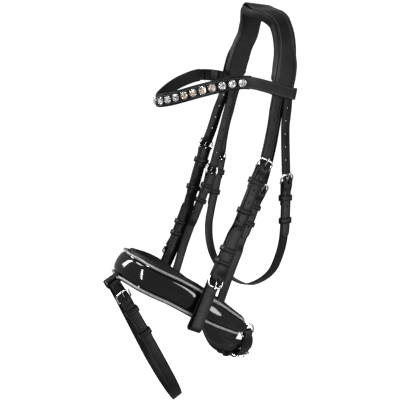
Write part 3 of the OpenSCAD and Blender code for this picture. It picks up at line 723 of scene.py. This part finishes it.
# ------------ browband
def browband():
    """The band, turned back into a loop at each end, and its lining."""
    loop_r, turn = 5.6, BROW_MID - 8

    def end(d):
        return ([(BROW_MID + d * x, h) for x, h in ((turn - 62, -2.3), (turn - 54, -2.3),
                                                    (turn - 44, -2 * loop_r))]
                + [(BROW_MID + d * x, -2 * loop_r) for x in (turn - 34, turn - 20, turn - 8, turn - 3)]
                + [(BROW_MID + d * q[0], q[1]) for q in arc(turn, -loop_r, loop_r, 270, 450, 12)])

    path = end(-1) + run(BROW_MID - turn + 6, BROW_MID + turn - 6, 0) + end(1)[::-1]
    ob = sweep("browband.look", BROW, path, 16, flat_outline(2.0), [BRIDLE])
    file(ob, "crown", "bridle_leather", "browband")
    for d in (-1, 1):
        sew("crown", seam(BROW, 6, BROW.length - 6, 1.05, d * 5.9))
    outline = round_outline([(-0.5, 0, 1.2), (-0.52, 0, 0.2), (-0.42, 0, -1.3), (-0.2, 0, -1.8),
                             (0.2, 0, -1.8), (0.42, 0, -1.3), (0.52, 0, 0.2), (0.5, 0, 1.2)])
    path = run(BROW_MID - 126, BROW_MID + 126, -2.5)

    def quilt(v, across, up):
        return np.where(up < 0, 0.12 * np.sin(v * 0.5), 0)

    ob = sweep("browband_lining.look", BROW, path, 17.5, outline, [SOFT], ripple=quilt, smooth=60)
    file(ob, "crown", "soft_lining", "browband_lining", soft=0.7)


def crystal_row():
    """Metal cups with four claws each, and a faceted crystal in every cup."""
    count, pitch, d = 18, 12.8, 10.6
    cup = [(0, 0.0), (d / 2 - 0.3, 0.0), (d / 2, 0.3), (d / 2, 2.2), (d / 2 - 0.15, 2.6),
           (d / 2 - 0.55, 2.65), (d / 2 - 0.65, 2.2), (d / 2 - 0.65, 0.8), (0, 0.8)]
    n = 32
    a = np.linspace(0, 2 * math.pi, n, endpoint=False)
    cups, clear, warm = [], [], []
    for i in range(count):
        m = place(BROW, BROW_MID + 3.5 + (i - (count - 1) / 2) * pitch, 1.05)
        rings = np.array([[(r * math.cos(g), r * math.sin(g), z) for g in a] for r, z in cup[1:-1]])
        k = len(cup) - 2
        verts = np.vstack([rings.reshape(-1, 3), [(0, 0, 0.0), (0, 0, 0.8)]])
        faces = grid(k, n, k - 1) + [(k * n, (j + 1) % n, j) for j in range(n)]
        faces += [(k * n + 1, (k - 1) * n + j, (k - 1) * n + (j + 1) % n) for j in range(n)]
        cups.append(moved((verts, faces), m))
        for g in range(4):
            c = math.radians(45 + 90 * g)
            claw = [((d / 2 - r) * math.cos(c), (d / 2 - r) * math.sin(c), z) for r, z in
                    ((0.2, 1.6), (0.2, 2.5), (0.6, 2.95), (1.3, 3.0), (1.7, 2.85))]
            cups.append(moved(tube(claw, [0.5, 0.5, 0.48, 0.42, 0.25], 8, up=(-math.sin(c), math.cos(c), 0)),
                              m))
        spin = 0.35 * i
        gem = [(2.6, 3.55, 0.5, 8), (3.75, 2.9, 0, 8), (4.5, 2.0, 0.5, 16), (4.5, 1.6, 0.5, 16),
               (1.2, 0.85, 0, 8)]
        verts, faces, starts = [], [], []
        for r, z, shift, sides in gem:
            starts.append((len(verts), sides))
            for j in range(sides):
                g = 2 * math.pi * (j + (shift if sides == 8 else 0)) / sides + spin
                verts.append((r * math.cos(g), r * math.sin(g), z))
        t0, b0, g0, g1, c0 = (q[0] for q in starts)
        faces.append(tuple(t0 + j for j in range(8)))
        for j in range(8):
            p, q = (j + 1) % 8, (2 * j + 1) % 16
            faces += [(t0 + j, b0 + p, t0 + p), (t0 + j, b0 + j, b0 + p), (b0 + j, g0 + 2 * j, g0 + q),
                      (b0 + j, g0 + q, b0 + p), (b0 + p, g0 + q, g0 + (2 * j + 2) % 16),
                      (g1 + 2 * j, c0 + j, g1 + q), (g1 + q, c0 + j, c0 + p),
                      (g1 + q, c0 + p, g1 + (2 * j + 2) % 16)]
        faces += [(g0 + j, g1 + j, g1 + (j + 1) % 16, g0 + (j + 1) % 16) for j in range(16)]
        faces.append(tuple(c0 + j for j in range(7, -1, -1)))
        (warm if 11 <= i <= 14 else clear).append(moved((np.array(verts), faces), m))
    file(make("crystal_cups.look", *join(cups), [METAL], smooth=45), "crown", "silver_metal", "crystal_cups")
    v, f = join(clear + warm)
    split = sum(len(p[1]) for p in clear)
    ob = make("crystals.look", v, f, [CLEAR, CHAMPAGNE], [0] * split + [1] * (len(f) - split), smooth=0)
    file(ob, "crown", "crystal", "crystals")


# ------------ cheeks
def billet(name, route, w, heel, end, first, count, flipped):
    """A holed strap from the browband's loop, where its upper end stays with the crown, to its point."""
    path = run(-9, heel - 24, 0, -0.6) + rise(heel) + run(heel + 20, end - 14, 0) + tip(end, 0, w)
    ob = sweep(name + ".look", route, path, w, flat_outline(STRAP_T), [BRIDLE], flipped=flipped)
    holes = [first + HOLE_PITCH * i for i in range(count)] + [heel - 4 + HOLE_PITCH * i for i in (1, 2, 3)]
    punch(ob, route, holes, flipped, [(heel - 8, 8)])
    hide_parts(name)
    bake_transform(ob)


def cheeks(side, flipped):
    """A cheek strap: billet, cheekpiece with its bit loop, both buckles and their keepers."""
    r, body = CHEEK[side], f"cheek_{side}"
    billet(f"cheek_billet_{side}", r, CHEEK_W - 1, CHEEK_HEEL, 172, 10, 4, flipped)
    turn = r.length - 6
    path = (chape(CHEEK_HEEL) + run(CHEEK_HEEL + 12, 175, CHAPE_H) + run(192, BIT_HEEL + 6, MAIN_H)
            + [(BIT_HEEL + 20, -5.4), (turn - 12, -4.6)] + arc(turn, 0, 4.6, 270, 450, 12)
            + [(turn - 12, 3.4), (BIT_HEEL + 26, 0)] + rise(BIT_HEEL, -1) + run(BIT_HEEL - 20, 190, 0)
            + tip(178, 0, CHEEK_W, -1))
    ob = strap(f"cheekpiece_{side}", r, path, CHEEK_W, body, flipped)
    punch(ob, r, [], flipped, [(CHEEK_HEEL - 4, 6), (BIT_HEEL, 8)])
    path = chape(BIT_HEEL, -1, 26) + run(BIT_HEEL - 12, BIT_HEEL - 62, CHAPE_H)
    strap(f"bit_chape_{side}", r, path, CHEEK_W, body, flipped)
    for i, s in enumerate((BIT_HEEL - 22, BIT_HEEL - 40)):
        set_keeper(f"bit_keeper_{i}_{side}", r, s, CHEEK_W, MAIN_H - STRAP_T / 2 - GAP, STRAP_T / 2 + 0.3, 7,
                   flipped, body, [])
    set_keeper(f"cheek_keeper_{side}", r, CHEEK_HEEL + 20, CHEEK_W, KEEPER_LOW, KEEPER_HIGH, 8, flipped, body)
    set_keeper(f"cheek_runner_{side}", r, 156, CHEEK_W, CHAPE_H - STRAP_T / 2 - 0.4, KEEPER_HIGH, 8, flipped,
               f"cheek_runner_{side}")
    set_buckle(r, CHEEK_HEEL, CHEEK_W, 1, flipped, body, f"cheek_buckle_{side}", f"cheek_tongue_{side}")
    set_buckle(r, BIT_HEEL, CHEEK_W, -1, flipped, body, f"bit_buckle_{side}", f"bit_tongue_{side}")
    for d in (-1, 1):
        sew(body, seam(r, CHEEK_HEEL + 26, 150, CHAPE_H + CHAPE_T / 2, d * (CHEEK_W / 2 - SEAM_IN)), flipped)
        sew(body, seam(r, BIT_HEEL - 14, 192, CHAPE_H + CHAPE_T / 2, d * (CHEEK_W / 2 - SEAM_IN)), flipped)


# ------------ the noseband's hanging straps
def sliphead(side, flipped):
    """One of the noseband's hanging straps, with its billet and buckle."""
    r = SLIP
    billet(f"sliphead_billet_{side}", r, SLIP_W, SLIP_HEEL, 196, 10, 6, flipped)
    path = chape(SLIP_HEEL) + run(SLIP_HEEL + 12, 205, CHAPE_H) + run(215, r.length - 1, 0)
    ob = strap(f"sliphead_strap_{side}", r, path, SLIP_W, "noseband", flipped)
    punch(ob, r, [], flipped, [(SLIP_HEEL - 4, 6)])
    for d in (-1, 1):
        sew("noseband", seam(r, 205, r.length - 6, CHAPE_T / 2, d * (SLIP_W / 2 - SEAM_IN)), flipped)
    set_keeper(f"sliphead_keeper_{side}", r, SLIP_HEEL + 20, SLIP_W, KEEPER_LOW, KEEPER_HIGH, 7, flipped,
               "noseband", [] if flipped else ["sliphead_keepers"])
    set_keeper(f"sliphead_runner_{side}", r, 174, SLIP_W, CHAPE_H - CHAPE_T / 2 - GAP, STRAP_T / 2 + 0.3, 7,
               flipped, "noseband", [])
    part = join([buckle(SLIP_W), tongue()])
    ob = make(f"sliphead_buckle_{side}.look", *moved(part, place(r, SLIP_HEEL, BAR_H)), [METAL],
              flipped=flipped, smooth=50)
    file(ob, "noseband", "silver_metal", *([] if flipped else ["sliphead_buckles"]))


# ------------ throatlash
def throatlash():
    """The strap under the throat, and a billet, buckle and keepers on each side."""
    body = "throatlash"
    far = THROAT.length - THROAT_HEEL
    path = chape(THROAT_HEEL) + run(THROAT_HEEL + 12, far - 12, CHAPE_H) + chape(far, -1)[::-1]
    ob = strap("throatlash", THROAT, path, THROAT_W, body)
    punch(ob, THROAT, [], False, [(THROAT_HEEL - 4, 6), (far - 2, 6)])
    for side, flipped in SIDES:
        r = THROAT_OF[side]
        billet(f"throat_billet_{side}", r, THROAT_W, THROAT_HEEL, 192, 12, 5, flipped)
        set_keeper(f"throat_keeper_{side}", r, THROAT_HEEL + 20, THROAT_W, KEEPER_LOW, KEEPER_HIGH, 8,
                   flipped, body)
        set_keeper(f"throat_runner_{side}", r, 166, THROAT_W, CHAPE_H - CHAPE_T / 2 - 0.4, KEEPER_HIGH, 8,
                   flipped, f"throat_runner_{side}")
        set_buckle(r, THROAT_HEEL, THROAT_W, 1, flipped, body, f"throat_buckle_{side}",
                   f"throat_tongue_{side}")


# ------------ noseband
def taper(s):
    """How much of its full width the noseband keeps at a length."""
    return np.interp(np.abs(s - NOSE_MID), (0, 110, 165, 205, 216), (1, 1, 0.83, 0.62, 0.54))


def noseband():
    """The glossy front, piping, lining, rings and their leather folds, and the flash tab."""
    body = "noseband"
    s = np.linspace(FRONT_END, NOSE.length - FRONT_END, 220)
    path = [(v, 0, float(FRONT_W * taper(v))) for v in s]
    outline = round_outline([(-0.5, 0.0, -1.1), (0.5, 0.0, -1.1), (0.5, 0.0, 1.0), (0.4, 0, 1.15),
                             (0.36, 0, 1.1), (0.34, 0, 3.4), (0.22, 0, 5.2), (0, 0, 6.0), (-0.22, 0, 5.2),
                             (-0.34, 0, 3.4), (-0.36, 0, 1.1), (-0.4, 0, 1.15), (-0.5, 0.0, 1.0)], 2)

    def waves(v, across, up):
        return 0.2 * np.sin(v * 0.1 + across * 0.11) + 0.05 * np.sin(v * 0.24 - across * 0.16) - 0.4

    ob = sweep("noseband_front.look", NOSE, path, FRONT_W, outline, [PATENT], ripple=waves, smooth=50)
    file(ob, body, "patent_leather", "noseband_front")
    cords = []
    for d in (-1, 1):
        u = np.linspace(FRONT_END + 2, NOSE.length - FRONT_END - 2, 420)
        p, _, x, n = NOSE.frames(u)
        centre = p + 2.75 * n + (d * (FRONT_W / 2 - 2) * taper(u))[:, None] * x
        cords.append(tube(centre, PIPING_D / 2 * (1 + 0.03 * np.sin(u * 2.2)), 14, up=(0, 0.84, -0.545)))
    ob = make("noseband_piping.look", *join(cords), [PIPING], smooth=60)
    file(ob, body, "grey_piping", "noseband_piping")
    outline = round_outline([(-0.5, 0, 0.6), (-0.51, 0, -0.6), (-0.46, 0, -2.6), (-0.34, 0, -3.6),
                             (0.34, 0, -3.6), (0.46, 0, -2.6), (0.51, 0, -0.6), (0.5, 0, 0.6), (0.5, 0, 2.2),
                             (0.46, 0, 3.5), (0.3, 0, 3.6), (-0.3, 0, 3.6), (-0.46, 0, 3.5), (-0.5, 0, 2.2)])
    s = np.linspace(FRONT_END - 8, NOSE.length - FRONT_END + 8, 216)
    end = np.interp(NOSE.length / 2 - FRONT_END + 8 - np.abs(s - NOSE_MID), (0, 2, 6, 12),
                    (0.8, 0.9, 0.97, 1))
    width = np.interp(np.abs(s - NOSE_MID), (0, 110, 165, 216), (1, 1, 0.93, 0.9))
    path = [(v, -7, float(LINING_W * k)) for v, k in zip(s, end * width)]

    def lower(v):
        return np.interp(np.abs(v - NOSE_MID), (110, 165, 216), (1, -1, -6.5))

    def puckers(v, across, up):
        edge = np.clip((np.abs(across) - 12) / 8, 0, 1)
        return 0.14 * edge * np.sin(v * 1.05 + np.sin(v * 0.3)) + 0.18 * np.sin(v * 0.17)

    ob = sweep("noseband_lining.look", NOSE, path, LINING_W, outline, [SOFT], side=lower, ripple=puckers,
               smooth=60)
    file(ob, body, "soft_lining", "noseband_lining", soft=0.85)
    folds = []
    for d in (-1, 1):
        s = NOSE_MID + d * (NOSE_MID - RING_BACK - RING_R + 0.7)
        path = ([(s - d * 20, -2.4, 19), (s - d * 12, -2.4, 18), (s - d * 5, -2.7, 14)]
                + [(s + d * 2.7 * math.cos(math.radians(a)), 2.7 * math.sin(math.radians(a)), 12)
                   for a in range(270, 451, 20)] + [(s - d * 3, 2.7, 13), (s - d * 7, 2.4, 16),
                                                    (s - d * 12, 2.2, 18)])
        ob = sweep(f"ring_chape_{'far' if d < 0 else 'near'}.look", NOSE, path, 12, flat_outline(1.6, False),
                   [PATENT])
        file(ob, body, "patent_leather", *(["ring_chapes"] if d < 0 else []))
        a = np.linspace(0, 2 * math.pi, 64, endpoint=False)
        ring = [(d * RING_AT[0], RING_AT[1] + RING_R * math.cos(g), RING_AT[2] + RING_R * math.sin(g))
                for g in a]
        folds.append(tube(ring, 1.4, 16, closed=True, up=(1, 0, 0)))
    file(make("jaw_rings.look", *join(folds), [METAL], smooth=60), body, "silver_metal", "jaw_rings")
    set_keeper("flash_tab", FLASH, FLASH_TURN, FLASH_W + 3, -5.4, 3.3, 9, False, body)


# ------------ flash and jaw straps
def flash():
    """The long strap that hangs from the noseband in a loop."""
    body, tail = "flash", FLASH_TURN + 110
    path = (chape(FLASH_HEEL) + run(FLASH_HEEL + 12, 300, CHAPE_H)
            + run(330, FLASH_TURN + FLASH_HEEL - 24, 0, -0.6) + rise(FLASH_TURN + FLASH_HEEL)
            + run(FLASH_TURN + FLASH_HEEL + 20, tail - 14, 0) + tip(tail, 0, FLASH_W))
    ob = strap("flash_strap", FLASH, path, FLASH_W, body)
    punch(ob, FLASH, [FLASH_HEEL - 4 + HOLE_PITCH * i for i in (2, 3)], False, [(FLASH_HEEL - 8, 8)])
    set_keeper("flash_keeper", FLASH, FLASH_HEEL + 20, FLASH_W, KEEPER_LOW, KEEPER_HIGH, 8, False, body)
    set_keeper("flash_runner", FLASH, 92, FLASH_W, CHAPE_H - CHAPE_T / 2 - 0.4, KEEPER_HIGH, 8, False,
               "flash_runner")
    set_buckle(FLASH, FLASH_HEEL, FLASH_W, 1, False, body, "flash_buckle", "flash_tongue")


def jaw():
    """The strap between the rings, its billet and buckle, and the padded chin piece."""
    body = "jaw"
    loop = ([(38, -2.5, 18), (31, -2.7, 18), (25, -2.7, 17), (20, -2.7, 15), (16, -2.7, 12.5)]
            + [(s, h, 12) for s, h in arc(10, 0, 2.7, 270, 90)]
            + [(16, 2.7, 12.5), (20, 2.5, 15), (25, 1.8, 17), (31, 0.9, 18)])
    far = [(JAW.length - s, h, w) for s, h, w in loop][::-1]
    path = chape(JAW_HEEL, 1, 22) + run(JAW_HEEL + 12, JAW.length - 38, CHAPE_H) + far
    ob = strap("jaw_strap", JAW, path, JAW_W, body)
    punch(ob, JAW, [], False, [(JAW_HEEL - 4, 6)])
    path = loop + rise(JAW_HEEL) + run(JAW_HEEL + 20, JAW_HEEL + 34, 0) + tip(JAW_HEEL + 46, 0, JAW_W)
    ob = strap("jaw_billet", JAW, path, JAW_W, body)
    punch(ob, JAW, [], False, [(JAW_HEEL - 8, 8)])
    outline = round_outline([(-0.5, 0, -0.8), (-0.48, 0, -3.4), (-0.38, 0, -4.2), (0.38, 0, -4.2),
                             (0.48, 0, -3.4), (0.5, 0, -0.8), (0.5, 0, 2.4), (0.44, 0, 4.2), (0.2, 0, 4.3),
                             (-0.2, 0, 4.3), (-0.44, 0, 4.2), (-0.5, 0, 2.4)])
    s0, s1 = JAW_HEEL - 30, JAW.length - 36
    s = np.linspace(s0, s1, 70)
    ends = np.sqrt(np.clip(np.minimum(s - s0, s1 - s) / 7, 0, 1))
    widths = (0.72 + 0.28 * ends) * np.interp(s, (s0, s0 + 45), (41, 37))
    path = [(v, -11, float(w)) for v, w in zip(s, widths)]

    def puckers(v, across, up):
        return 0.16 * np.sin(v * 0.9) * np.clip((np.abs(across) - 9) / 6, 0, 1) + 0.2 * np.sin(v * 0.2)

    def back(v):
        return np.interp(v, (s0, s0 + 45), (-3.5, 5.5))

    ob = sweep("chin_pad.look", JAW, path, 37, outline, [SOFT], side=back, ripple=puckers, smooth=60)
    file(ob, body, "soft_lining", "chin_pad", soft=0.85)
    set_keeper("jaw_keeper", JAW, JAW_HEEL + 20, JAW_W, KEEPER_LOW, KEEPER_HIGH, 8, False, body)
    set_buckle(JAW, JAW_HEEL, JAW_W, 1, False, body, "jaw_buckle", "jaw_tongue")


crown()
browband()
crystal_row()
for side, flipped in SIDES:
    cheeks(side, flipped)
    sliphead(side, flipped)
throatlash()
noseband()
flash()
jaw()
for body, spots in threads.items():
    file(make(f"stitching_{body}", *stitches(spots), [THREAD], smooth=50), body, "bridle_leather")


# ------------ floor, light and camera
def stage():
    """The floor, the light and the camera."""
    m, t, s, at = nodes_of("floor")
    t.links.new(ramp(t, noise(t, at, 0.6, 2), [(0.3, (0.93, 0.93, 0.93)), (0.7, (0.95, 0.95, 0.95))]),
                s.inputs["Base Color"])
    t.links.new(spread(t, noise(t, at, 3), 0.85, 0.95), s.inputs["Roughness"])
    s.inputs["Specular IOR Level"].default_value = 0.0
    size, z = 60000, -1600
    floor = make("floor", [(-size, -size, z), (size, -size, z), (size, size, z), (-size, size, z)],
                 [(0, 1, 2, 3)], [m], smooth=0)
    floor.visible_glossy = False
    world = bpy.data.worlds.new("studio")
    world.use_nodes = True
    world.node_tree.nodes["Background"].inputs["Color"].default_value = (1, 1, 1, 1)
    world.node_tree.nodes["Background"].inputs["Strength"].default_value = 0.36
    bpy.context.scene.world = world
    aim = Vector((0, -0.098, -0.247))

    def area(name, at, target, size, power):
        light = bpy.data.lights.new(name, "AREA")
        light.shape, light.size, light.size_y, light.energy = "RECTANGLE", size[0], size[1], power
        ob = bpy.data.objects.new(name, light)
        ob.location = at
        ob.rotation_euler = (Vector(target) - Vector(at)).to_track_quat("-Z", "Y").to_euler()
        bpy.context.scene.collection.objects.link(ob)

    sun = bpy.data.lights.new("top", "SUN")
    sun.energy, sun.angle = 2.9, math.radians(24)
    ob = bpy.data.objects.new("top", sun)
    ob.rotation_euler = (math.radians(8), math.radians(-10), 0)
    bpy.context.scene.collection.objects.link(ob)
    area("key", (1.2, -2.0, 0.9), (0.05, -0.12, -0.3), (0.14, 1.5), 60)
    area("side", (1.9, 0.7, 0.3), (0.05, -0.1, -0.3), (0.45, 1.4), 30)
    area("rim", (-1.3, -1.2, 0.7), (0, -0.1, -0.2), (0.35, 1.2), 40)
    area("patch", (1.7, 0.85, -0.9), (0.065, -0.12, -0.39), (0.6, 0.5), 13)
    camera = bpy.data.cameras.new("camera")
    camera.sensor_width, camera.lens, camera.clip_end = 36, 70.7, 200
    ob = bpy.data.objects.new("camera", camera)
    back = Vector((0.8325, -0.4806, 0.2756)).normalized()
    ob.location = aim + back * 1.1
    ob.rotation_euler = back.to_track_quat("Z", "Y").to_euler()
    bpy.context.scene.collection.objects.link(ob)
    bpy.context.scene.camera = ob
    bpy.context.scene.view_settings.view_transform = "Standard"


stage()
